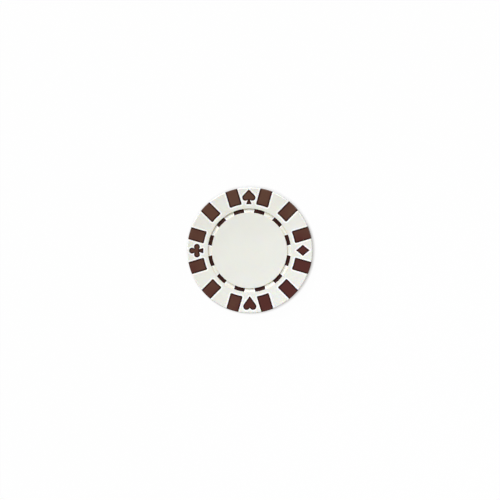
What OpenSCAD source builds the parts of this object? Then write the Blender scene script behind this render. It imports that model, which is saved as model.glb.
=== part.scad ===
// Card-suit poker chip: a white moulding over a steel slug, with dark edge inserts and suit plugs.
// The chip lies flat: +Z is up, the origin is the centre of its lower side, and +Y points to the spade.

/* [Chip] */
// Diameter of the chip: its inserts and suits grow and shrink with it
chip_d = 39; // [37:0.5:43]
// Thickness of the chip over its rim
chip_t = 3.3; // [3.1:0.1:4]
// Radius of the rounded outer edge
edge_r = 0.3; // [0.2:0.05:0.8]

/* [Faces] */
// Width of the raised rim, from the outer edge in to the groove
rim_w = 6.5; // [6:0.1:7]
// Width of the groove, at the height of the rim
groove_w = 1.3; // [1:0.05:1.8]
// Depth of the groove below the rim
groove_d = 0.42; // [0.3:0.02:0.5]
// How far the centre field lies below the rim
centre_drop = 0.08; // [0.02:0.02:0.2]

/* [Weight slug] */
// Thickness of the steel slug
slug_t = 1.7; // [1.3:0.05:1.8]
// White wall between the slug's rim and the dark pieces outside it
slug_wall = 0.35; // [0.25:0.05:0.8]
// Number of keying holes through the slug
key_count = 6; // [3:1:8]
// Diameter of a keying hole
key_d = 2.4; // [1.6:0.1:3.6]
// Diameter of the circle that the keying holes lie on
key_circle_d = 16; // [12:0.5:18]

/* [Edge inserts] */
// Width and length of an edge insert, on the usual chip
insert_size = [3.85, 5.1]; // [3:0.1:5.6]
// Angle from a suit's axis to the insert on either side of it
insert_angle = 16.4; // [16:0.1:18]
// Width of an insert's tongues, which show as dashes in the groove, on the usual chip
dash_w = 3.2; // [2.4:0.1:3.6]
// Angle from a suit's axis to the dash on either side of it
dash_angle = 15; // [13:0.5:17]

/* [Suits] */
// Distance from the chip's edge in to the outer end of the diamond, spade, club and heart
suit_inset = [0.8, 0.6, 0.65, 1.03]; // [0.5:0.05:1.2]
// Width and height of the diamond, on the usual chip
diamond_size = [3.4, 4.15]; // [2.6:0.05:4.6]
// Width and height of the spade, on the usual chip
spade_size = [4.1, 4.55]; // [3.4:0.05:4.8]
// Width and height of the club, on the usual chip
club_size = [4.2, 4.45]; // [3.8:0.05:4.8]
// Width and height of the heart, on the usual chip
heart_size = [4.12, 4.22]; // [3.4:0.05:4.5]
// How far each side of the diamond is hollowed
diamond_dish = 0.06; // [0.04:0.02:0.2]
// Diameter of the spade's two lobes
spade_lobe_d = 1.9; // [1.7:0.02:2]
// Diameter of the club's three lobes
club_lobe_d = 1.82; // [1.6:0.02:1.9]
// Diameter of the heart's two lobes
heart_lobe_d = 2.1; // [2.04:0.02:2.3]
// Diameter of the hub that joins the club's lobes
hub_d = 1.2; // [1:0.05:1.4]
// Height of a stem, from the foot up to the lobes
stem_h = 1.08; // [0.9:0.02:1.3]
// Width of a stem at its foot
foot_w = 1.6; // [1.2:0.05:1.9]
// Width of a stem at its upper end, inside the head
neck_w = 0.4; // [0.3:0.05:0.6]
// Distance from the chip's edge in to the middle of each plug's locking flange
flange_inset = 3; // [2.8:0.05:3.1]
// Thickness of a locking flange, half way through the chip
flange_t = 0.8; // [0.5:0.1:1.2]
// White wall between a locking flange and the inserts beside it
flange_wall = 0.9; // [0.7:0.05:1.1]

/* [Fits] */
// Seam all round a dark piece in the white moulding
seam = 0.02; // [0.01:0.01:0.05]
// Gap all round the slug in its cavity
slug_gap = 0.03; // [0.01:0.01:0.06]

/* [Hidden] */
$fn = 144;
white = [0.91, 0.915, 0.885];
brown = [0.36, 0.22, 0.19];
steel = [0.62, 0.63, 0.64];

quadrants = 4;
quarter = 360 / quadrants;
// Diameter of the usual chip, which the inserts and suits are drawn for
usual_d = 39;
grow = chip_d / usual_d;
chip_r = chip_d / 2;
mid_z = chip_t / 2;
// How far a cutting shape runs past the face that it cuts
past = 1;
// How far a straight flank runs inside the lobe that it joins, so that the two cross
lap = 0.01;
// How far a tongue runs into the dash and the edge block that it joins
tongue_lap = 0.3;

// The groove's section is a circle through both edges of the groove and its floor
groove_out_r = chip_r - rim_w;
groove_mid_r = groove_out_r - groove_w / 2;
groove_arc_r = (pow(groove_w / 2, 2) + pow(groove_d, 2)) / (2 * groove_d);
groove_floor_z = chip_t - groove_d;
groove_arc_z = groove_floor_z + groove_arc_r;
// Where the groove's inner side comes up to the lower centre field
centre_z = chip_t - centre_drop;
groove_in_r = groove_mid_r - sqrt(pow(groove_arc_r, 2) - pow(groove_arc_z - centre_z, 2));

diamond = diamond_size * grow;
spade = spade_size * grow;
club = club_size * grow;
heart = heart_size * grow;
suit_heights = [diamond.y, spade.y, club.y, heart.y];
suit_in_rs = [for (i = [0 : len(suit_heights) - 1]) chip_r - suit_inset[i] - suit_heights[i]];

block = insert_size * grow;
tongue_w = dash_w * grow;
insert_in_r = chip_r - block.y;
slug_r = min(insert_in_r, min(suit_in_rs)) - slug_wall;
// A tongue lies on the slug and comes up to the groove's floor, under the white rim
tongue_z = mid_z + slug_t / 2 + slug_gap;
insert_angles = [for (q = [0 : quadrants - 1]) for (a = [insert_angle, quarter / 2, quarter - insert_angle])
    q * quarter + a];
dash_angles = [for (q = [0 : quadrants - 1]) for (a = [dash_angle, quarter / 2, quarter - dash_angle])
    q * quarter + a];

spade_lobe_r = spade_lobe_d / 2 * grow;
club_lobe_r = club_lobe_d / 2 * grow;
heart_lobe_r = heart_lobe_d / 2 * grow;
hub_r = hub_d / 2 * grow;
lobe_foot_z = stem_h * grow;
flange_at_r = chip_r - flange_inset * grow;
// From the flange's middle square across to the side of the next insert
flange_r = flange_at_r * sin(insert_angle) - block.x / 2 - seam - flange_wall;

function insert_name(i) = str("edge_insert_", i < 9 ? "0" : "", i + 1);

SUITS = ["diamond_plug", "spade_plug", "club_plug", "heart_plug"];
INSERTS = [for (i = [0 : len(insert_angles) - 1]) insert_name(i)];

// Repeats a shape made for the upper side on the lower side too
module both_sides() {
    children();
    translate([0, 0, chip_t]) mirror([0, 0, 1]) children();
}

// The whole chip's outside: rounded edge, groove and lower centre field on both sides
module chip_form() {
    difference() {
        rotate_extrude() {
            square([chip_r - edge_r, chip_t]);
            translate([0, edge_r]) square([chip_r, chip_t - 2 * edge_r]);
            for (z = [edge_r, chip_t - edge_r]) translate([chip_r - edge_r, z]) circle(edge_r);
        }
        both_sides() {
            translate([0, 0, centre_z]) cylinder(r = groove_mid_r, h = past);
            rotate_extrude() translate([groove_mid_r, groove_arc_z]) circle(groove_arc_r);
        }
    }
}

// The slug's disc with its keying holes, grown all round by the gap of its cavity
module slug_form(gap) {
    difference() {
        translate([0, 0, mid_z - slug_t / 2 - gap]) cylinder(r = slug_r + gap, h = slug_t + 2 * gap);
        for (k = [0 : key_count - 1]) rotate(k * 360 / key_count) translate([key_circle_d / 2, 0, -past])
            cylinder(d = key_d - 2 * gap, h = chip_t + 2 * past);
    }
}

// A strip along +X between two radii; both of its ends are round the chip's axis
module radial_strip(width, r_in, r_out) {
    intersection() {
        translate([0, -width / 2]) square([r_out + past, width]);
        difference() {
            circle(r_out);
            circle(r_in);
        }
    }
}

// Edge block through the whole thickness, with a tongue above and below the slug that ends in a dash
module insert_form(i, gap) {
    rotate(insert_angles[i]) translate([0, 0, -past]) linear_extrude(chip_t + 2 * past)
        radial_strip(block.x + 2 * gap, insert_in_r - gap, chip_r + past);
    both_sides() translate([0, 0, tongue_z - gap]) {
        rotate(insert_angles[i]) linear_extrude(groove_floor_z - tongue_z + 2 * gap)
            radial_strip(tongue_w + 2 * gap, groove_out_r - tongue_lap, insert_in_r + tongue_lap);
        rotate(dash_angles[i]) linear_extrude(chip_t)
            radial_strip(tongue_w + 2 * gap, groove_in_r - gap, groove_out_r + gap);
    }
}

// Two round lobes with straight flanks that meet in a tip, the lobes at the origin's height
module lobed_head(width, tip, radius, gap) {
    lobe_x = width / 2 - radius;
    flank = atan2(lobe_x, tip) + asin(radius / norm([lobe_x, tip]));
    touch = (radius + gap - lap) * [cos(flank), sin(flank)];
    polygon([
        [0, tip + (gap - lap) / sin(flank)],
        [lobe_x + touch.x, touch.y],
        [lobe_x, 0],
        [-lobe_x, 0],
        [-lobe_x - touch.x, touch.y],
    ]);
    for (side = [-1, 1]) translate([side * lobe_x, 0]) circle(radius + gap);
}

// A stem that narrows straight from its foot to its upper end inside the head
module stem(top, gap) {
    foot = foot_w / 2 * grow;
    neck = neck_w / 2 * grow;
    lean = atan2(foot - neck, top);
    grown_foot = foot + gap / cos(lean) + gap * tan(lean);
    grown_neck = neck + gap / cos(lean);
    polygon([[-grown_foot, -gap], [grown_foot, -gap], [grown_neck, top], [-grown_neck, top]]);
}

// Each suit stands on the origin with its outer end up
module spade_outline(gap) {
    lobe_z = lobe_foot_z + spade_lobe_r;
    translate([0, lobe_z]) lobed_head(spade.x, spade.y - lobe_z, spade_lobe_r, gap);
    stem(lobe_z, gap);
}

module heart_outline(gap) {
    lobes_z = heart.y - heart_lobe_r;
    translate([0, lobes_z]) mirror([0, 1]) lobed_head(heart.x, lobes_z, heart_lobe_r, gap);
}

module club_outline(gap) {
    side_x = club.x / 2 - club_lobe_r;
    lobe_z = lobe_foot_z + club_lobe_r;
    top_z = club.y - club_lobe_r;
    hub_z = (2 * lobe_z + top_z) / 3;
    for (c = [[-side_x, lobe_z], [side_x, lobe_z], [0, top_z]]) translate(c) circle(club_lobe_r + gap);
    translate([0, hub_z]) circle(hub_r + gap);
    stem(hub_z, gap);
}

module diamond_outline(gap) {
    half = diamond / 2;
    dish = diamond_dish * grow;
    side = norm(half);
    side_at = half.x * half.y / side;
    grown = half * (1 + gap / side_at);
    dish_r = pow(side, 2) / (8 * dish) + dish / 2;
    translate([0, half.y]) difference() {
        polygon([[grown.x, 0], [0, grown.y], [-grown.x, 0], [0, -grown.y]]);
        for (x = [-1, 1]) for (y = [-1, 1])
            translate([x * half.y, y * half.x] / side * (side_at - dish + dish_r))
                circle(dish_r - gap);
    }
}

module suit_outline(i, gap) {
    rotate((i - 1) * quarter) translate([0, suit_in_rs[i]]) {
        if (i == 0) diamond_outline(gap);
        if (i == 1) spade_outline(gap);
        if (i == 2) club_outline(gap);
        if (i == 3) heart_outline(gap);
    }
}

// A suit right through the chip, locked in the white by a round flange half way
module suit_form(i, gap) {
    translate([0, 0, -past]) linear_extrude(chip_t + 2 * past) suit_outline(i, gap);
    rotate(i * quarter) translate([flange_at_r, 0, mid_z - flange_t / 2 - gap])
        cylinder(r = flange_r + gap, h = flange_t + 2 * gap);
}

// The white moulding: the whole chip less the slug's cavity and the dark pieces' pockets
module white_body() color(white) difference() {
    chip_form();
    slug_form(slug_gap);
    for (i = [0 : len(insert_angles) - 1]) insert_form(i, seam);
    for (i = [0 : len(SUITS) - 1]) suit_form(i, seam);
}

module weight_slug() color(steel) slug_form(0);

module edge_insert(i) color(brown) intersection() {
    chip_form();
    insert_form(i, 0);
}

module suit_plug(i) color(brown) intersection() {
    chip_form();
    suit_form(i, 0);
}

white_body();
weight_slug();
for (i = [0 : len(insert_angles) - 1]) edge_insert(i);
for (i = [0 : len(SUITS) - 1]) suit_plug(i);
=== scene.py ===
"""Looks of the card-suit poker chip: softened seams and crests, satin plastics, light and camera.

Shapes are worked out in millimetres in the chip's own frame: +Z up from its lower side, +Y to the
spade. The studio is in metres.
"""

import math

import bmesh
import bpy
import numpy as np
from mathutils import Matrix, Vector
from mathutils.geometry import delaunay_2d_cdt


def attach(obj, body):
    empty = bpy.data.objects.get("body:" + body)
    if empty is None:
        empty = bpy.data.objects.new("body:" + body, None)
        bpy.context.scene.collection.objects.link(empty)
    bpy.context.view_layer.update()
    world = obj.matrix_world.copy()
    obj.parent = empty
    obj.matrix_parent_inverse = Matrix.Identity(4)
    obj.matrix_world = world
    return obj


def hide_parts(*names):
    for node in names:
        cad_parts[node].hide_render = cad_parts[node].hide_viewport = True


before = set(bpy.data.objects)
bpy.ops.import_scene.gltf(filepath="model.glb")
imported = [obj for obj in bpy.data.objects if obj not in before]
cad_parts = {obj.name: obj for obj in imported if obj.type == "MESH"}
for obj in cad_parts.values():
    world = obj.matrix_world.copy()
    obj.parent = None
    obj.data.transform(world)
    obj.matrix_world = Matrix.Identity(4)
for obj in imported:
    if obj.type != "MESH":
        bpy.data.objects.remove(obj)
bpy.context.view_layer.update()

MM = 0.001

# Chip, groove and centre field
CHIP_R = 19.5
CHIP_T = 3.3
EDGE_R = 0.3
RIM_W = 6.5
GROOVE_W = 1.3
GROOVE_D = 0.42
CENTRE_DROP = 0.08
CREST_R = 0.09
GROOVE_MID = CHIP_R - RIM_W - GROOVE_W / 2
GROOVE_ARC_R = (GROOVE_W**2 / 4 + GROOVE_D**2) / (2 * GROOVE_D)
GROOVE_ARC_Z = CHIP_T - GROOVE_D + GROOVE_ARC_R
CENTRE_Z = CHIP_T - CENTRE_DROP
# Where the rounded crests beside the groove have their middle, and how far they lean into it
CREST_REACH = GROOVE_ARC_R + CREST_R
CREST_IN = GROOVE_MID - math.sqrt(CREST_REACH**2 - (GROOVE_ARC_Z - CENTRE_Z + CREST_R) ** 2)
CREST_OUT = GROOVE_MID + math.sqrt(CREST_REACH**2 - (GROOVE_ARC_Z - CHIP_T + CREST_R) ** 2)
LEAN_IN = math.asin((GROOVE_MID - CREST_IN) / CREST_REACH)
LEAN_OUT = math.asin((CREST_OUT - GROOVE_MID) / CREST_REACH)
# Painted shade on the groove's steep sides, a tan tint that stands in for their shading: distances from
# the groove's middle, and how much of it lies there
PAINTED_SHADE_AT = (0.25, 0.47, 0.58, 0.67)
PAINTED_SHADE_LEVEL = (0, 1, 1, 0)

# Edge inserts, and the dashes at the ends of their tongues
QUARTERS = np.arange(4) * 90.0
INSERT_HALF = 1.925
INSERT_IN_R = CHIP_R - 5.1
INSERT_CORNER = 0.38
INSERT_ANGLES = np.add.outer(QUARTERS, (16.4, 45.0, 73.6)).ravel()
DASH_HALF = 1.6
DASH_ANGLES = np.add.outer(QUARTERS, (15.0, 45.0, 75.0)).ravel()
DASH_T = 0.3
TONGUE_IN_R = 12.7
TONGUE_LAP = 0.3
TONGUE_Z = (2.53, 2.86)
TONGUE_HALF = 1.5

# Suits: angle on the chip, radius of the outer end, width and height
SUIT_SIZES = {
    "diamond": (0.0, 18.7, 3.4, 4.15),
    "spade": (90.0, 18.9, 4.1, 4.55),
    "club": (180.0, 18.85, 4.2, 4.45),
    "heart": (270.0, 18.47, 4.12, 4.22),
}
DIAMOND_DISH = 0.06
SPADE_LOBE_R = 0.95
CLUB_LOBE_R = 0.91
HEART_LOBE_R = 1.05
NOTCH_R = 0.08
STEM_H = 1.08
FOOT_HALF = 0.84
NECK_HALF = 0.05
SUIT_SOFTEN = 0.02
SUIT_ROUNDS = 10
# Points of a suit's outline, and how many times finer it is while its corners are softened
SUIT_POINTS = 160
SUIT_FINE = 5

# Seams: the hairline gap, the softened lip on either side of it, and the margin along it on the flat
SEAM = 0.02
MARGIN = 0.5
MARGIN_STEP = 0.25
MARGIN_LEAST = 0.97 * MARGIN
LIP_R = 0.055
LIP_FLAT = 0.015
LIP_STEPS = 4
# A suit's lips are finer than the others, to keep its inner corners
SUIT_LIP = 0.6
# Nearness to a seam: at the lip's upper edge, where the margin's colour is full, and the painted light
# on the rim's rounded edge
NEAR_LIP = 0.7
MARGIN_FULL = 0.35
PAINTED_EDGE_LIGHT = 0.35
# The lip's steps from the flat down a quarter circle: outwards, downwards and in nearness
lip_turn = np.linspace(0, np.pi / 2, LIP_STEPS + 1)
LIP_OUT = np.concatenate(([LIP_R + LIP_FLAT], LIP_R * (1 - np.sin(lip_turn))))
LIP_DOWN = np.concatenate(([0], LIP_R * (1 - np.cos(lip_turn))))
LIP_NEAR = NEAR_LIP + (1 - NEAR_LIP) * LIP_DOWN / LIP_R

# Steps along each round, run and arc
EDGE_STEPS = 9
CORNER_STEPS = 6
END_STEPS = 8
TOOTH_STEPS = 12
CREST_STEPS = 4
GROOVE_STEPS = 14
DASH_STEPS = 8
RUN_STEPS = 10
ARC_STEPS = 60

# Meshes: the triangles that a flat fill keeps, how close two points count as one in a fill and, in
# metres, in a piece, the least square of a stretch's length, and the angle of a sharp edge in degrees
FILL_INSIDE = 1
FILL_CLOSE = 1e-6
MERGE_CLOSE = 1e-7
LEAST_SQUARE = 1e-12
SHARP_ANGLE = 35.0

# Finishes: sizes of blotches and grain in millimetres, and the shares that they vary between
NOISE_RANGE = (0.3, 0.7)
FINE_DETAIL = 3.0
CLOUD_SIZE = 9.0
# The groove's painted shade is thinned out in patches of this size, to these shares
PAINTED_SHADE_SIZE = 2.5
PAINTED_SHADE_SHARES = (0.7, 1.0)
MARGIN_SIZE = 1.4
MARGIN_SHARES = (0.7, 1.0)
DIRT_SIZE = 0.9
DIRT_SHARES = (0.4, 0.9)
SATIN_SIZE = 2.2
SATIN_LESS = 0.05
SATIN_MORE = 0.07
GRAIN_SIZE = 0.22
GRAIN_STRENGTH = 0.25
GRAIN_DEPTH = 0.012
SCATTER = 0.2
SCATTER_REACH = (1.0, 0.6, 0.25)
SCATTER_DEPTH = 0.25
STEEL_BLOTCH = 4.0
STREAK_SIZE = 0.2
STREAK_STRETCH = (1, 12, 1)
STREAK_ROUGHNESS = (0.25, 0.5)
# A Mix node's sockets for colours, which share their names with those for numbers
MIX_A = 6
MIX_B = 7
MIX_RESULT = 2

# Floor, how white it is to the eye at the chip and away from it, and how open it is there
FLOOR_HALF = 2.0
FLOOR_GAP = 0.02 * MM
FLOOR_SHADE = 0.6
WHITE_AT_CHIP = 0.5
WHITE_AWAY = 0.985
CONTACT = 1.2 * MM
CONTACT_OPEN = (0.55, 0.92)
# Room and lamps: where a lamp stands is an angle round the chip and one above the floor, or a point
ROOM_LIGHT = 0.25
ROOM_TINT = (1.0, 0.88, 0.66, 1.0)
ROOM_SEEN = (1.0, 1.0, 1.0, 1.0)
KEY_FROM = (122.0, 43.0)
KEY_STRENGTH = 3.42
KEY_TINT = (0.912, 0.948, 1.0)
KEY_ANGLE = 13.0
CARD_FROM = (-5.0, 8.0)
CARD_STRENGTH = 0.75
CARD_TINT = (1.0, 1.0, 1.0)
CARD_ANGLE = 14.0
GLOW_FROM = Vector((-0.05, 0.05, 0.3))
GLOW_AT = Vector((0.055, -0.055, 0.0))
GLOW_POWER = 1.6
GLOW_TINT = (0.68, 0.74, 1.0)
GLOW_CONE = 31.2
GLOW_BLEND = 1.0
GLOW_SIZE = 0.04
# Camera: what it looks at, how far off, and its lean from straight above in degrees
TARGET = Vector((0.04, 0.075, CHIP_T / 2)) * MM
CAMERA_DISTANCE = 0.4321
CAMERA_LENS = 100.0
CAMERA_LEAN = 7.0
CAMERA_SIDE = 25.0
CAMERA_ROLL = 0.5


def place(x, y, z):
    """Points from three coordinate arrays of matching shape."""
    return np.stack(np.broadcast_arrays(x, y, z), axis=-1)


def turned(points, degrees):
    """The points turned about the chip's axis."""
    angle = math.radians(degrees)
    along = (math.cos(angle), math.sin(angle), 0)
    across = (-math.sin(angle), math.cos(angle), 0)
    return points @ np.array([along, across, (0, 0, 1)])


def under(points):
    """The same points on the lower side, mirrored at half the chip's thickness."""
    return points * (1, 1, -1) + (0, 0, CHIP_T)


def closed(loop):
    """An outline with its first point once more at its end."""
    return np.append(loop, loop[:1], axis=0)


def grid_faces(rows, cols, ring_rows=False, ring_cols=False):
    """Quads of a grid whose points run row by row; a ringed direction closes on itself."""
    i = np.arange(rows if ring_rows else rows - 1)[:, None]
    j = np.arange(cols if ring_cols else cols - 1)[None, :]
    here = i * cols
    there = (i + 1) % rows * cols
    beside = (j + 1) % cols
    corners = np.broadcast_arrays(here + j, here + beside, there + beside, there + j)
    return np.stack(corners, axis=-1).reshape(-1, 4)


def inside(points, loop):
    """Which points lie in an outline: a line to the right of them crosses it an odd number of times."""
    ahead = np.roll(loop, -1, axis=0)
    way = ahead - loop
    x = points[:, :1] - loop[:, 0]
    y = points[:, 1:] - loop[:, 1]
    spans = (y < 0) != (points[:, 1:] < ahead[:, 1])
    left = way[:, 0] * y - way[:, 1] * x > 0
    return np.sum(spans & (left == (way[:, 1] > 0)), axis=1) % 2 == 1


def between(points, loops):
    """Which points lie in the first outline and outside the others."""
    in_hole = np.any([inside(points, hole) for hole in loops[1:]], axis=0)
    return inside(points, loops[0]) & ~in_hole


def seam_distance(points, seams):
    """Distance from each point to the nearest of some lines, dropped square onto every stretch."""
    start = np.concatenate([seam[:-1] for seam in seams])
    way = np.concatenate([np.diff(seam, axis=0) for seam in seams])
    offset = points[:, None] - start
    length_square = np.maximum(np.sum(way**2, axis=1), LEAST_SQUARE)
    share = np.clip(np.sum(offset * way, axis=2) / length_square, 0, 1)
    return np.min(np.linalg.norm(offset - share[..., None] * way, axis=2), axis=1)


def beside_seam(seam):
    """Points on both sides of a line, a margin's width away and evenly spaced along it."""
    length = np.append(0, np.cumsum(np.linalg.norm(np.diff(seam, axis=0), axis=1)))
    steps = np.linspace(0, length[-1], math.ceil(length[-1] / MARGIN_STEP) + 1)
    middles = (steps[1:] + steps[:-1]) / 2
    x, y = (np.interp(middles, length, line) for line in seam.T)
    along_x, along_y = (np.diff(np.interp(steps, length, line)) for line in seam.T)
    square = np.stack((-along_y, along_x), axis=-1) / np.hypot(along_x, along_y)[:, None]
    middle = np.stack((x, y), axis=-1)
    return np.concatenate((middle - MARGIN * square, middle + MARGIN * square))


def flat_fill(loops, seams):
    """Triangles of a flat face inside the first outline and outside the others.

    Points set in by a margin along the seams let the nearness to a seam fade out over that width.
    Returns the points, the triangles and each point's nearness, from 0 at the margin to that of a
    lip at the seam.
    """
    spare = np.concatenate([beside_seam(seam) for seam in seams])
    spare = spare[seam_distance(spare, seams) > MARGIN_LEAST]
    clear = seam_distance(spare, [closed(loop) for loop in loops]) > MARGIN_STEP
    spare = spare[clear & between(spare, loops)]
    flat = np.concatenate((*loops, spare))
    sizes = np.array([len(loop) for loop in loops])
    ends = np.cumsum(sizes)
    following = np.arange(1, ends[-1] + 1)
    following[ends - 1] = ends - sizes
    edges = np.stack((np.arange(ends[-1]), following), axis=-1)
    filled = delaunay_2d_cdt(flat.tolist(), edges.tolist(), [], FILL_INSIDE, FILL_CLOSE)
    points = np.array(filled[0])
    faces = np.array(filled[2])
    faces = faces[between(points[faces].mean(axis=1), loops)]
    return points, faces, NEAR_LIP * np.clip(1 - seam_distance(points, seams) / MARGIN, 0, 1)


class Shell:
    """The grids and fills of one piece, with each point's nearness to a seam and its painted shade,
    from 0 to 1.
    """

    def __init__(self):
        self.points = []
        self.marks = {"near_seam": [], "grime": []}
        self.faces = []
        self.count = 0

    def add(self, points, faces, near=0.0, grime=0.0):
        """Takes in one grid or fill: points of any shape, and faces as rows of point numbers."""
        self.marks["near_seam"].append(np.broadcast_to(near, points.shape[:-1]).ravel())
        self.marks["grime"].append(np.broadcast_to(grime, points.shape[:-1]).ravel())
        self.points.append(points.reshape(-1, 3))
        self.faces += (np.asarray(faces) + self.count).tolist()
        self.count += len(self.points[-1])

    def fill(self, loops, seams, heights):
        """Takes in a flat face at each height, between outlines of which some lines are seams."""
        points, faces, near = flat_fill(loops, seams)
        for height in heights:
            self.add(place(points[:, 0], points[:, 1], height), faces, near)

    def mesh(self, name):
        """The piece's mesh in metres, with doubles merged and faces outwards."""
        mesh = bpy.data.meshes.new(name)
        mesh.from_pydata(np.concatenate(self.points) * MM, [], self.faces)
        for mark, values in self.marks.items():
            layer = mesh.attributes.new(mark, "FLOAT", "POINT")
            layer.data.foreach_set("value", np.concatenate(values))
        form = bmesh.new()
        form.from_mesh(mesh)
        bmesh.ops.remove_doubles(form, verts=form.verts, dist=MERGE_CLOSE)
        bmesh.ops.recalc_face_normals(form, faces=form.faces)
        form.to_mesh(mesh)
        form.free()
        return mesh


def slot_edge(grow):
    """Upper half of the softened edge round an edge insert on +X.

    Rows follow the insert's outline: over the rounded rim on one side, in along the flat, round a
    corner of small radius, along the inner end, which is an arc about the chip's axis, and out again
    on the other side. Columns step the outline outwards by grow and down the lip's quarter circle.
    """
    side = INSERT_HALF + grow
    bend_r = INSERT_CORNER + grow
    end_r = INSERT_IN_R - grow
    flat_z = CHIP_T - LIP_DOWN
    turn = np.linspace(np.pi / 2, 0, EDGE_STEPS + 1)[:, None]
    reach = CHIP_R - EDGE_R + (EDGE_R - LIP_DOWN) * np.sin(turn)
    rise = CHIP_T - EDGE_R + (EDGE_R - LIP_DOWN) * np.cos(turn)
    rim = place(np.sqrt(reach**2 - side**2), side, rise)
    flat_x = np.sqrt((CHIP_R - EDGE_R - LIP_FLAT) ** 2 - side**2)
    flat = place(flat_x, side, flat_z)[None]
    bend_y = INSERT_HALF - INSERT_CORNER
    bend_x = math.sqrt((INSERT_IN_R + INSERT_CORNER) ** 2 - bend_y**2)
    lean = math.atan2(bend_y, bend_x)
    swing = np.linspace(np.pi / 2, np.pi + lean, CORNER_STEPS + 1)[:, None]
    bend = place(bend_x + bend_r * np.cos(swing), bend_y + bend_r * np.sin(swing), flat_z)
    sweep = np.linspace(lean, -lean, END_STEPS + 1)[1:-1, None]
    end = place(end_r * np.cos(sweep), end_r * np.sin(sweep), flat_z)
    half = np.concatenate((rim, flat, bend))
    return np.concatenate((half, end, half[::-1] * (1, -1, 1)))


def add_slot(shell, grow, degrees):
    """The softened edge round an insert on both sides of the chip, and its walls.

    The walls join the upper line to the lower one: two flat sides, and a strip along the corners and
    the inner end. Returns the outline on the flat.
    """
    top = slot_edge(grow)
    rows, cols, _ = top.shape
    ring = turned(np.concatenate((top, under(top)[::-1])), degrees)
    shell.add(ring, grid_faces(2 * rows, cols, ring_rows=True), LIP_NEAR)
    seam = ring[:, -1]
    corner = EDGE_STEPS + 2
    side = np.arange(-corner - 1, corner + 1)
    shell.add(seam, [side % (2 * rows), side + rows], 1.0)
    i = np.arange(corner, rows - 1 - corner)
    low = 2 * rows - 1 - i
    shell.add(seam, np.stack((i, i + 1, low - 1, low), axis=-1), 1.0)
    return ring[EDGE_STEPS + 1 : rows - EDGE_STEPS - 1, 0, :2]


def rim_rows():
    """Radius and height down the rounded rim: a step of flat, then a quarter circle to the wall."""
    turn = np.linspace(0, np.pi / 2, EDGE_STEPS + 1)
    reach = np.append(CHIP_R - EDGE_R - LIP_FLAT, CHIP_R - EDGE_R + EDGE_R * np.sin(turn))
    height = np.append(CHIP_T, CHIP_T - EDGE_R + EDGE_R * np.cos(turn))
    return reach[:, None], height[:, None]


def rim_shares(length):
    """Shares of a stretch of rim: a margin in from each end, and evenly spaced between them."""
    edge = MARGIN / length
    return np.concatenate(([0], np.linspace(edge, 1 - edge, TOOTH_STEPS + 1), [1]))


def add_rim(shell, x, y, height, painted_edge_light=0.0):
    """A stretch of the rim between two seams, painted paler as painted light most in the middle of its
    rounded edges.

    Rows go down the upper half and on down the lower half, with the wall between them. The painted
    light is half a wave over each quarter circle. Returns the edge of the flat without its two ends.
    """
    half = place(x, y, height)
    band = np.concatenate((half, under(half)[::-1]))
    steps = np.linalg.norm(np.diff(half[-1, :, :2], axis=0), axis=1)
    length = np.append(0, np.cumsum(steps))
    near = NEAR_LIP * np.clip(1 - np.minimum(length, length[-1] - length) / MARGIN, 0, 1)
    edge_light_half = painted_edge_light * np.append(0, np.sin(np.linspace(0, np.pi, EDGE_STEPS + 1)))
    edge_light_rows = np.append(edge_light_half, edge_light_half[::-1])[:, None]
    # Painted light: the rounded edges take the margin's paler colour through the nearness to a seam
    shell.add(band, grid_faces(*band.shape[:2]), np.maximum(near, edge_light_rows))
    return half[0, 1:-1, :2]


def groove_rows(gap=0.0):
    """Radius and height across the groove's arc, from crest to crest, short of both by a gap."""
    short = gap / GROOVE_ARC_R
    lean = np.linspace(short - LEAN_IN, LEAN_OUT - short, GROOVE_STEPS + 1)
    radius = GROOVE_MID + GROOVE_ARC_R * np.sin(lean)
    height = GROOVE_ARC_Z - GROOVE_ARC_R * np.cos(lean)
    return radius, height


def groove_section():
    """Radius and height from the centre field to the land, and 1 in the rows of the groove itself.

    Rows go outwards: a step of flat, the inner crest's part of a circle, the groove's arc, the outer
    crest and a step of flat.
    """
    groove_r, groove_z = groove_rows()
    turn_in = np.linspace(0, LEAN_IN, CREST_STEPS + 1)
    turn_out = np.linspace(-LEAN_OUT, 0, CREST_STEPS + 1)
    inner_r = np.append(CREST_IN - LIP_FLAT, CREST_IN + CREST_R * np.sin(turn_in))
    inner_z = np.append(CENTRE_Z, CENTRE_Z - CREST_R + CREST_R * np.cos(turn_in))
    outer_r = np.append(CREST_OUT + CREST_R * np.sin(turn_out), CREST_OUT + LIP_FLAT)
    outer_z = np.append(CHIP_T - CREST_R + CREST_R * np.cos(turn_out), CHIP_T)
    radius = np.concatenate((inner_r, groove_r, outer_r))
    height = np.concatenate((inner_z, groove_z, outer_z))
    in_groove = np.repeat((0, 1, 0), (len(inner_r), len(groove_r), len(outer_r)))
    return radius[:, None], height[:, None], in_groove[:, None]


def dash_columns():
    """Columns over one dash's pocket and the run of groove to the next dash.

    They go down a lip, over the pocket's floor, up the other lip and along the run. Returns each
    column's place across the dash, its drop, its nearness to a seam and its share of the run.
    """
    lip = DASH_HALF + SEAM + LIP_OUT
    floor = np.linspace(-lip[-1], lip[-1], DASH_STEPS + 1)
    deep = np.full(len(floor), DASH_T)
    run = np.linspace(0, 1, RUN_STEPS + 1)[1:-1]
    level = np.zeros(len(run))
    across = np.concatenate((-lip, floor, lip[::-1], np.full(len(run), lip[0])))
    drop = np.concatenate((LIP_DOWN, deep, LIP_DOWN[::-1], level))
    near = np.concatenate((LIP_NEAR, np.ones(len(floor)), LIP_NEAR[::-1], level))
    share = np.concatenate((np.zeros(len(across) - len(run)), run))
    return across, drop, near, share


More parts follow.
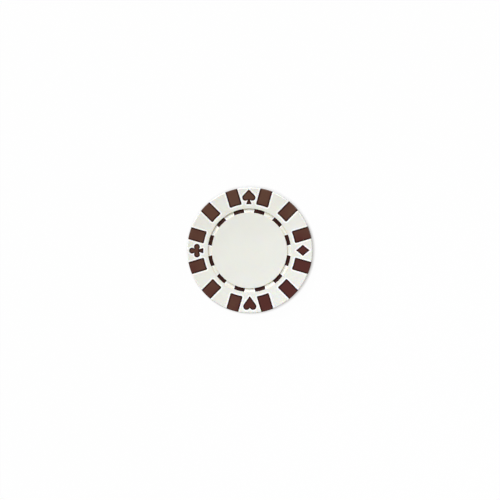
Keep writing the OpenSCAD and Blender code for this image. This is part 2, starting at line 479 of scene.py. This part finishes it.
def add_groove(shell):
    """The groove on both sides, with its rounded crests and a pocket for each dash.

    Rows are those of the section, and columns go round the chip: at each dash they follow lines
    square across it, and between dashes the angle is shared out evenly. In the groove's rows a column
    drops by its lip or to the pocket's floor, and the step against the crests closes as an upright
    face. Returns the inner and the outer ring of points.
    """
    radius, height, in_groove = groove_section()
    across, drop, near, share = dash_columns()
    groove_r = radius[in_groove == 1]
    square_r = np.clip(radius, groove_r[0], groove_r[-1])
    pitch = np.radians(DASH_ANGLES[1] - DASH_ANGLES[0])
    run = pitch - 2 * np.arcsin(np.max(across) / square_r)
    period = np.arcsin(across / square_r) + share * run
    angle = np.add.outer(np.radians(DASH_ANGLES), period)
    angle = angle.transpose(1, 0, 2).reshape(len(radius), -1)
    sink = in_groove * np.tile(drop, len(DASH_ANGLES))
    ring = place(radius * np.cos(angle), radius * np.sin(angle), height - sink)
    faces = grid_faces(*ring.shape[:2], ring_cols=True)
    # Painted shade: a tan tint on the steep sides next to both crests, standing in for the shading
    # there
    grime = np.interp(abs(radius - GROOVE_MID), PAINTED_SHADE_AT, PAINTED_SHADE_LEVEL)
    for side in (ring, under(ring)):
        shell.add(side, faces, in_groove * np.tile(near, len(DASH_ANGLES)), grime)
    return ring[0, :, :2], ring[-1, :, :2]


def arc(centre, radius, start, end):
    """Points of a circle in the complex plane, from one angle to another."""
    return centre + radius * np.exp(1j * np.linspace(start, end, ARC_STEPS))


def meet(a, a_r, b, b_r, side):
    """Where two circles cross, on the left (1) or right (-1) of the way from centre a to centre b."""
    way = b - a
    along = (a_r**2 - b_r**2 + abs(way) ** 2) / (2 * abs(way))
    return a + way / abs(way) * (along + 1j * side * math.sqrt(a_r**2 - along**2))


def bearing(centre, point):
    """Direction from a centre to a point, from 0 to a full turn."""
    return np.angle(point - centre) % (2 * np.pi)


def flank_lean(lobe_x, lobe_r, tip):
    """Direction square to the straight flank that runs from a lobe to the tip above it."""
    return math.atan2(lobe_x, tip) + math.asin(lobe_r / math.hypot(lobe_x, tip))


def stem_half(top, lobe, lobe_r):
    """Right half of a stem that narrows straight upwards, with a small notch where it meets a lobe.

    Returns the points, and the direction from the lobe's centre to where its own round begins.
    """
    flank = NECK_HALF + 1j * top - FOOT_HALF
    square = -1j * flank / abs(flank)
    edge = FOOT_HALF + NOTCH_R * square
    # The notch's centre lies beside the flank, on the circle round the lobe that is wider by a notch
    to_lobe = (lobe - edge) / flank
    reach = (lobe_r + NOTCH_R) / abs(flank)
    notch = edge + (to_lobe.real - math.sqrt(reach**2 - to_lobe.imag**2)) * flank
    turn = arc(notch, NOTCH_R, bearing(square, 0), bearing(notch, lobe))
    return np.concatenate(([0, FOOT_HALF], turn)), bearing(lobe, notch)


def spade_half(width, height):
    """Right half of the spade: stem, round lobe and straight flank up to the tip."""
    lobe = width / 2 - SPADE_LOBE_R + 1j * (STEM_H + SPADE_LOBE_R)
    stem, start = stem_half(lobe.imag, lobe, SPADE_LOBE_R)
    flank = flank_lean(lobe.real, SPADE_LOBE_R, height - lobe.imag)
    side = arc(lobe, SPADE_LOBE_R, start, 2 * np.pi + flank)
    return np.concatenate((stem, side, [1j * height]))


def heart_half(width, height):
    """Right half of the heart: straight flank from the tip below, a lobe, and half of a small notch."""
    lobe = width / 2 - HEART_LOBE_R + 1j * (height - HEART_LOBE_R)
    flank = flank_lean(lobe.real, HEART_LOBE_R, lobe.imag)
    reach = HEART_LOBE_R + NOTCH_R
    stop = math.acos(-lobe.real / reach)
    notch = lobe + reach * np.exp(1j * stop)
    turn = arc(notch, NOTCH_R, np.angle(lobe - notch), -np.pi / 2)
    return np.concatenate(([0], arc(lobe, HEART_LOBE_R, -flank, stop), turn))


def club_half(width, height):
    """Right half of the club: stem, side lobe, a small round notch and the upper lobe."""
    lobe = width / 2 - CLUB_LOBE_R + 1j * (STEM_H + CLUB_LOBE_R)
    crown = 1j * (height - CLUB_LOBE_R)
    stem, start = stem_half((2 * lobe.imag + crown.imag) / 3, lobe, CLUB_LOBE_R)
    reach = CLUB_LOBE_R + NOTCH_R
    notch = meet(lobe, reach, crown, reach, -1)
    side = arc(lobe, CLUB_LOBE_R, start, 2 * np.pi + bearing(lobe, notch))
    turn = arc(notch, NOTCH_R, bearing(notch, lobe), bearing(notch, crown))
    upper = arc(crown, CLUB_LOBE_R, np.angle(notch - crown), np.pi / 2)
    return np.concatenate((stem, side, turn, upper))


def diamond_half(width, height):
    """Right half of the diamond: two sides, each hollowed by a parabola as deep as the dish."""
    corner = width / 2 + 0.5j * height
    up = 1j * height - corner
    share = np.linspace(0, 1, ARC_STEPS)
    hollow = 4j * DIAMOND_DISH * share * (1 - share) / abs(corner)
    return np.concatenate((corner * (share + hollow), corner + up * (share + hollow)))


def suit_outline(half, degrees, out_r, width, height):
    """A suit's outline on the chip and the directions square to it, from its right half.

    The half and its mirror image make a closed line. In each round it is cut into equal steps, and
    its corners are softened by a bell-shaped average along the line. Its direction comes from the
    last round's waves. Both are drawn out again to the suit's width and height.
    """
    line = np.concatenate((half, -np.conj(half[::-1])))
    for _ in range(SUIT_ROUNDS):
        ring = closed(line)
        length = np.append(0, np.cumsum(abs(np.diff(ring))))
        steps = np.linspace(0, length[-1], SUIT_FINE * SUIT_POINTS, endpoint=False)
        even = np.interp(steps, length, ring)
        waves = 2 * np.pi * np.fft.fftfreq(len(even), length[-1] / len(even))
        series = np.fft.fft(even) * np.exp(-0.5 * (SUIT_SOFTEN * waves) ** 2)
        line = np.fft.ifft(series)
    wide = width / np.ptp(line.real)
    high = height / np.ptp(line.imag)
    way = np.fft.ifft(1j * waves * series)[::SUIT_FINE]
    way = wide * way.real + 1j * high * way.imag
    line = wide * line.real + 1j * (out_r + high * (line.imag - np.max(line.imag)))
    spin = np.exp(1j * math.radians(degrees - 90))
    return line[::SUIT_FINE] * spin, -1j * way / abs(way) * spin


HALVES = {"diamond": diamond_half, "spade": spade_half, "club": club_half, "heart": heart_half}
SUITS = {
    name: suit_outline(HALVES[name](width, height), degrees, out_r, width, height)
    for name, (degrees, out_r, width, height) in SUIT_SIZES.items()
}


def add_suit(shell, outline, square, grow):
    """The softened edge round a suit on both sides and the wall between. Returns its flat outline."""
    across = outline[:, None] + square[:, None] * grow
    top = place(across.real, across.imag, CHIP_T - SUIT_LIP * LIP_DOWN)
    wall = np.concatenate((top, under(top)[:, ::-1]), axis=1)
    near = np.append(LIP_NEAR, LIP_NEAR[::-1])
    shell.add(wall, grid_faces(*wall.shape[:2], ring_rows=True), near)
    return top[:, 0, :2]


def white_moulding():
    """The white moulding: rim teeth between the inserts, and land, groove and centre on both sides."""
    shell = Shell()
    grow = SEAM + LIP_OUT
    reach, height = rim_rows()
    lean = np.degrees(np.arcsin((INSERT_HALF + grow[0]) / reach))
    following = np.append(INSERT_ANGLES[1:], INSERT_ANGLES[0] + 360)
    slots = []
    outer = []
    for start, stop in zip(INSERT_ANGLES, following):
        slots.append(add_slot(shell, grow, start)[::-1])
        share = rim_shares(math.radians(stop - start) * CHIP_R - 2 * INSERT_HALF)
        angle = np.radians((start + lean) * (1 - share) + (stop - lean) * share)
        tooth = add_rim(shell, reach * np.cos(angle), reach * np.sin(angle), height, PAINTED_EDGE_LIGHT)
        outer += [slots[-1], tooth]
    centre, land = add_groove(shell)
    holes = [add_suit(shell, *suit, SEAM + SUIT_LIP * LIP_OUT) for suit in SUITS.values()]
    seams = slots + [closed(hole) for hole in holes]
    shell.fill([np.concatenate(outer), land, *holes], seams, (CHIP_T, 0))
    field = place(centre[:, 0], centre[:, 1], CENTRE_Z)
    for side in (field, under(field)):
        shell.add(side, np.arange(len(field))[None])
    return shell.mesh("white_moulding")


def suit_inlay(name):
    """A suit right through the rim, with softened edges on both sides."""
    shell = Shell()
    flat = add_suit(shell, *SUITS[name], -SUIT_LIP * LIP_OUT)
    shell.fill([flat], [closed(flat)], (CHIP_T, 0))
    return shell.mesh(name + "_inlay")


def add_dash(shell, degrees):
    """The end of a tongue that shows in the groove, on both sides of the chip.

    Its upper face is the groove's arc carried square across, with a lip at both ends, and its lower
    face is the same arc further down.
    """
    radius, height = groove_rows(SEAM)
    lip = DASH_HALF - LIP_OUT
    flat = np.linspace(-lip[0], lip[0], DASH_STEPS + 1)[1:-1]
    level = np.zeros(len(flat))
    y = np.concatenate((-lip[::-1], flat, lip))
    drop = np.concatenate((LIP_DOWN[::-1], level, LIP_DOWN))
    near = np.concatenate((LIP_NEAR[::-1], level, LIP_NEAR))
    x = np.sqrt(radius[:, None] ** 2 - y**2)
    top = place(x, y, height[:, None] - drop)
    low = place(x, y, height[:, None] - DASH_T + SEAM)
    band = turned(np.concatenate((top, low[:, ::-1]), axis=1), degrees)
    rows, cols, _ = band.shape
    j = np.arange(cols // 2 - 1)
    cap = np.stack((j, j + 1, cols - 2 - j, cols - 1 - j), axis=-1)
    faces = np.concatenate((grid_faces(rows, cols, ring_cols=True), cap, cap + (rows - 1) * cols))
    for side in (band, under(band)):
        # The dash is marked painted shade all over, so it is painted darker than its block for the
        # groove's shade
        shell.add(side, faces, np.append(near, np.ones(len(near))), 1.0)


def add_tongue(shell, degrees):
    """The bar under the white land that joins a dash to its block: six faces between eight corners."""
    x = np.array((TONGUE_IN_R, INSERT_IN_R + TONGUE_LAP))[:, None, None]
    y = np.array((-TONGUE_HALF, TONGUE_HALF))[None, :, None]
    bar = turned(place(x, y, np.array(TONGUE_Z)), degrees)
    faces = ((0, 1, 3, 2), (4, 6, 7, 5), (0, 4, 5, 1), (2, 3, 7, 6), (0, 2, 6, 4), (1, 5, 7, 3))
    for side in (bar, under(bar)):
        shell.add(side, faces, 1.0)


def united(block, arms):
    """One closed mesh from a block and the arms that run into it."""
    pair = [bpy.data.objects.new(mesh.name, mesh) for mesh in (block, arms)]
    for one in pair:
        bpy.context.scene.collection.objects.link(one)
    union = pair[0].modifiers.new("arms", "BOOLEAN")
    union.operation = "UNION"
    union.solver = "EXACT"
    union.use_self = True
    union.object = pair[1]
    whole = pair[0].evaluated_get(bpy.context.evaluated_depsgraph_get())
    mesh = bpy.data.meshes.new_from_object(whole)
    for one in pair:
        bpy.data.objects.remove(one)
    return mesh


def edge_block(number):
    """An edge insert: a block with softened edges, and a tongue with its dash on both sides."""
    degrees = INSERT_ANGLES[number]
    block = Shell()
    outline = add_slot(block, -LIP_OUT, degrees)
    side = INSERT_HALF - LIP_OUT[0]
    y = side * (2 * rim_shares(2 * side) - 1)
    reach, height = rim_rows()
    x = np.sqrt(reach**2 - y**2)
    turn = math.radians(degrees)
    rim_x = x * math.cos(turn) - y * math.sin(turn)
    rim_y = x * math.sin(turn) + y * math.cos(turn)
    rim = add_rim(block, rim_x, rim_y, height)
    block.fill([np.concatenate((outline, rim))], [outline], (CHIP_T, 0))
    arms = Shell()
    add_dash(arms, DASH_ANGLES[number])
    add_tongue(arms, degrees)
    mesh = united(block.mesh("block"), arms.mesh("arms"))
    mesh.name = f"edge_block_{number + 1:02d}"
    return mesh


def add_piece(mesh, node, material):
    """Puts a mesh in the scene as the piece that stands for a CAD node."""
    mesh.shade_smooth()
    mesh.set_sharp_from_angle(angle=math.radians(SHARP_ANGLE))
    mesh.materials.clear()
    mesh.materials.append(material)
    piece = bpy.data.objects.new(mesh.name, mesh)
    bpy.context.scene.collection.objects.link(piece)
    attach(piece, "root")
    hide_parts(node)


def linear(red, green, blue):
    """A screen colour, 0 to 255, as a shader takes it: a straight start, then a power of 2.4."""
    seen = np.array((red, green, blue)) / 255
    return (*np.where(seen <= 0.04045, seen / 12.92, ((seen + 0.055) / 1.055) ** 2.4), 1.0)


class Nodes:
    """A node tree, with the kinds of node that finishes, floor and room share."""

    def __init__(self, tree):
        self.tree = tree
        self.new = tree.nodes.new
        self.link = tree.links.new

    def spread(self, value, low, high, start=0.0, stop=1.0):
        """A value from start to stop, spread over another range."""
        node = self.new("ShaderNodeMapRange")
        node.inputs["From Min"].default_value = start
        node.inputs["From Max"].default_value = stop
        node.inputs["To Min"].default_value = low
        node.inputs["To Max"].default_value = high
        self.link(value, node.inputs["Value"])
        return node.outputs["Result"]

    def join(self, a, b, operation):
        """Two values by a sum or another operation."""
        node = self.new("ShaderNodeMath")
        node.operation = operation
        self.link(a, node.inputs[0])
        self.link(b, node.inputs[1])
        return node.outputs["Value"]

    def blend(self, share, a, b):
        """Colour a where the share is 0 and b where it is 1; each a colour or another node's output."""
        node = self.new("ShaderNodeMix")
        node.data_type = "RGBA"
        self.link(share, node.inputs["Factor"])
        for colour, socket in ((a, node.inputs[MIX_A]), (b, node.inputs[MIX_B])):
            if isinstance(colour, tuple):
                socket.default_value = colour
            else:
                self.link(colour, socket)
        return node.outputs[MIX_RESULT]

    def layer(self, share, a, b):
        """Shader a where the share is 0 and b where it is 1."""
        node = self.new("ShaderNodeMixShader")
        for out, socket in zip((share, a, b), node.inputs):
            self.link(out, socket)
        return node.outputs["Shader"]

    def seen(self):
        """1 for rays to the camera, straight, from a reflection or through something clear."""
        path = self.new("ShaderNodeLightPath").outputs
        mirrored = self.join(path["Is Camera Ray"], path["Is Glossy Ray"], "MAXIMUM")
        return self.join(mirrored, path["Is Transmission Ray"], "MAXIMUM")


class Finish(Nodes):
    """A procedural material: nodes on the piece's own coordinates round one Principled shader."""

    def __init__(self, name):
        self.material = bpy.data.materials.new(name)
        self.material.use_nodes = True
        super().__init__(self.material.node_tree)
        self.sockets = self.tree.nodes["Principled BSDF"].inputs
        self.place = self.new("ShaderNodeTexCoord").outputs["Object"]

    def noise(self, size, detail=2.0, stretch=(1, 1, 1)):
        """Noise whose blotches are about so many millimetres wide, narrower where it is stretched."""
        mapping = self.new("ShaderNodeMapping")
        mapping.inputs["Scale"].default_value = [s / (size * MM) for s in stretch]
        self.link(self.place, mapping.inputs["Vector"])
        noise = self.new("ShaderNodeTexNoise")
        noise.inputs["Scale"].default_value = 1.0
        noise.inputs["Detail"].default_value = detail
        self.link(mapping.outputs["Vector"], noise.inputs["Vector"])
        return noise.outputs["Fac"]

    def patchy(self, value, size, shares):
        """A value thinned out in patches, to shares of it."""
        patches = self.spread(self.noise(size), *shares, *NOISE_RANGE)
        return self.join(value, patches, "MULTIPLY")

    def sheen_drift(self, direction):
        """A value that grows along a direction, given in shares per metre; it paints a sheen across the
        piece.
        """
        node = self.new("ShaderNodeVectorMath")
        node.operation = "DOT_PRODUCT"
        self.link(self.place, node.inputs[0])
        node.inputs[1].default_value = direction
        return node.outputs["Value"]

    def mark(self, name):
        """One of the piece's own marks: its nearness to a seam, or its painted shade."""
        node = self.new("ShaderNodeAttribute")
        node.attribute_name = name
        return node.outputs["Fac"]

    def bump(self, height, strength, depth):
        """Roughens the surface by a height, with the depth in millimetres."""
        node = self.new("ShaderNodeBump")
        node.inputs["Strength"].default_value = strength
        node.inputs["Distance"].default_value = depth * MM
        self.link(height, node.inputs["Height"])
        self.link(node.outputs["Normal"], self.sockets["Normal"])


def satin_plastic(name, plain, cloudy, sheen_drift, painted_shade_colour, margin, in_seam, roughness, shine):
    """Moulded satin plastic with a fine grain.

    Its plain colour turns cloudy in faint blotches, and towards cloudy along a direction as painted
    sheen; then to a painted shade colour where the piece is marked with painted shade, then to the
    margin's colour along seams, and to dirt inside them.
    """
    finish = Finish(name)
    # Painted sheen: the blotches drift towards the cloudy colour along a direction
    clouds_and_sheen = finish.join(finish.noise(CLOUD_SIZE, FINE_DETAIL), finish.sheen_drift(sheen_drift), "ADD")
    clouds_and_sheen = finish.spread(clouds_and_sheen, 0.0, 1.0, *NOISE_RANGE)
    grime = finish.patchy(finish.mark("grime"), PAINTED_SHADE_SIZE, PAINTED_SHADE_SHARES)
    near = finish.mark("near_seam")
    edge = finish.spread(near, 0.0, 1.0, 0.0, MARGIN_FULL)
    edge = finish.patchy(edge, MARGIN_SIZE, MARGIN_SHARES)
    dirt = finish.spread(near, 0.0, 1.0, NEAR_LIP, 1.0)
    dirt = finish.patchy(dirt, DIRT_SIZE, DIRT_SHARES)
    colour = finish.blend(clouds_and_sheen, plain, cloudy)
    colour = finish.blend(grime, colour, painted_shade_colour)
    colour = finish.blend(edge, colour, margin)
    finish.link(finish.blend(dirt, colour, in_seam), finish.sockets["Base Color"])
    satin = (roughness - SATIN_LESS, roughness + SATIN_MORE)
    satin = finish.spread(finish.noise(SATIN_SIZE), *satin, *NOISE_RANGE)
    finish.link(satin, finish.sockets["Roughness"])
    finish.sockets["Specular IOR Level"].default_value = shine
    finish.bump(finish.noise(GRAIN_SIZE, FINE_DETAIL), GRAIN_STRENGTH, GRAIN_DEPTH)
    return finish


def white_satin():
    """The white plastic, which light enters a little."""
    finish = satin_plastic(
        "white_satin_plastic",
        plain=linear(231, 231, 223),
        cloudy=linear(228, 228, 219),
        sheen_drift=(0, 0, 0),
        # Painted shade: the tan tint of the groove's steep sides, standing in for their shading
        painted_shade_colour=linear(228, 222, 203),
        # The margin's paler white, which is also painted on the rim's rounded edges as painted light
        margin=linear(250, 251, 249),
        in_seam=linear(160, 148, 126),
        roughness=0.5,
        shine=0.2,
    )
    finish.sockets["Subsurface Weight"].default_value = SCATTER
    finish.sockets["Subsurface Radius"].default_value = SCATTER_REACH
    finish.sockets["Subsurface Scale"].default_value = SCATTER_DEPTH * MM
    return finish.material


def brown_satin():
    """The brown plastic, redder towards the lower right of the chip, as painted sheen that is lighter
    towards the upper left.
    """
    finish = satin_plastic(
        "brown_satin_plastic",
        plain=linear(89, 61, 48),
        cloudy=linear(78, 40, 34),
        # Painted sheen: lighter and greyer towards the upper left, redder and darker towards the lower
        # right
        sheen_drift=(7.5, -12, 0),
        # Painted shade: the darker brown of the dashes in the groove
        painted_shade_colour=linear(68, 36, 24),
        margin=linear(43, 16, 11),
        in_seam=linear(30, 10, 8),
        roughness=0.45,
        shine=0.08,
    )
    return finish.material


def pressed_steel():
    """The slug's sheet steel: faint blotches of grey, and streaks in its roughness from rolling."""
    finish = Finish("pressed_steel")
    finish.sockets["Metallic"].default_value = 1.0
    blotches = finish.noise(STEEL_BLOTCH)
    grey = finish.blend(blotches, linear(168, 169, 171), linear(138, 139, 141))
    finish.link(grey, finish.sockets["Base Color"])
    streaks = finish.noise(STREAK_SIZE, stretch=STREAK_STRETCH)
    rough = finish.spread(streaks, *STREAK_ROUGHNESS, *NOISE_RANGE)
    finish.link(rough, finish.sockets["Roughness"])
    return finish.material


def make_chip():
    """All pieces with their finishes; the slug stays the CAD node."""
    white = white_satin()
    brown = brown_satin()
    steel = pressed_steel()
    add_piece(white_moulding(), "white_body", white)
    for number in range(len(INSERT_ANGLES)):
        add_piece(edge_block(number), f"edge_insert_{number + 1:02d}", brown)
    for name in SUITS:
        add_piece(suit_inlay(name), name + "_plug", brown)
    for slug_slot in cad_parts["weight_slug"].material_slots:
        slug_slot.material = steel


def light_room():
    """An even pale room: dim and warm as a light, white where it is seen."""
    world = bpy.data.worlds.new("studio")
    world.use_nodes = True
    room = Nodes(world.node_tree)
    background = room.tree.nodes["Background"].inputs
    seen = room.seen()
    room.link(room.spread(seen, ROOM_LIGHT, 1.0), background["Strength"])
    room.link(room.blend(seen, ROOM_TINT, ROOM_SEEN), background["Color"])
    bpy.context.scene.world = world


def floor_paint():
    """Pale paper, clear from below.

    Where it is seen it turns to white away from the chip, and keeps the chip's shadow close to it.
    """
    material = bpy.data.materials.new("white_paper")
    material.use_nodes = True
    paint = Nodes(material.node_tree)
    paint.tree.nodes.clear()
    diffuse = paint.new("ShaderNodeBsdfDiffuse")
    diffuse.inputs["Color"].default_value = (FLOOR_SHADE, FLOOR_SHADE, FLOOR_SHADE, 1)
    paper = diffuse.outputs["BSDF"]
    white = paint.new("ShaderNodeEmission").outputs["Emission"]
    clear = paint.new("ShaderNodeBsdfTransparent").outputs["BSDF"]
    openness = paint.new("ShaderNodeAmbientOcclusion")
    openness.inputs["Distance"].default_value = CONTACT
    share = paint.spread(openness.outputs["AO"], WHITE_AT_CHIP, WHITE_AWAY, *CONTACT_OPEN)
    upper = paint.layer(paint.seen(), paper, paint.layer(share, paper, white))
    from_below = paint.new("ShaderNodeNewGeometry").outputs["Backfacing"]
    surface = paint.layer(from_below, upper, clear)
    paint.link(surface, paint.new("ShaderNodeOutputMaterial").inputs["Surface"])
    return material


def lay_floor():
    """One large square just under the chip."""
    x = FLOOR_HALF * np.array((-1, 1, 1, -1))
    y = FLOOR_HALF * np.array((-1, -1, 1, 1))
    mesh = bpy.data.meshes.new("floor")
    mesh.from_pydata(place(x, y, -FLOOR_GAP), [], [(0, 1, 2, 3)])
    mesh.materials.append(floor_paint())
    floor = bpy.data.objects.new("floor", mesh)
    bpy.context.scene.collection.objects.link(floor)


def direction(side, rise):
    """The direction at an angle round the chip and an angle above the floor, both in degrees."""
    side, rise = np.radians((side, rise))
    flat = math.cos(rise)
    return Vector((math.cos(side) * flat, math.sin(side) * flat, math.sin(rise)))


def hang_lamp(name, kind, stand, aim, strength, tint):
    """A lamp of a kind that stands at one point and shines towards another."""
    lamp = bpy.data.lights.new(name, kind)
    lamp.energy = strength
    lamp.color = tint
    holder = bpy.data.objects.new(name, lamp)
    holder.location = stand
    holder.rotation_mode = "QUATERNION"
    holder.rotation_quaternion = (stand - aim).to_track_quat("Z", "Y")
    bpy.context.scene.collection.objects.link(holder)
    return lamp


def light_chip():
    """A key light from the upper left, a white card low on the right, a glow to the lower right."""
    chip = Vector()
    key = hang_lamp("key_light", "SUN", direction(*KEY_FROM), chip, KEY_STRENGTH, KEY_TINT)
    key.angle = math.radians(KEY_ANGLE)
    card = hang_lamp("white_card", "SUN", direction(*CARD_FROM), chip, CARD_STRENGTH, CARD_TINT)
    card.angle = math.radians(CARD_ANGLE)
    glow = hang_lamp("glow", "SPOT", GLOW_FROM, GLOW_AT, GLOW_POWER, GLOW_TINT)
    glow.spot_size = math.radians(GLOW_CONE)
    glow.spot_blend = GLOW_BLEND
    glow.shadow_soft_size = GLOW_SIZE


def set_camera():
    """The photo's view: almost straight down, a little from the right."""
    back = direction(CAMERA_SIDE, 90 - CAMERA_LEAN)
    roll = math.radians(CAMERA_ROLL)
    right = Vector((math.sin(roll), math.cos(roll), 0)).cross(back).normalized()
    turn = Matrix((right, back.cross(right), back)).transposed()
    lens = bpy.data.cameras.new("camera")
    lens.lens = CAMERA_LENS
    camera = bpy.data.objects.new("camera", lens)
    camera.matrix_world = Matrix.LocRotScale(TARGET + CAMERA_DISTANCE * back, turn, None)
    bpy.context.scene.collection.objects.link(camera)
    bpy.context.scene.camera = camera


make_chip()
light_room()
lay_floor()
light_chip()
set_camera()
bpy.context.scene.view_settings.view_transform = "Standard"
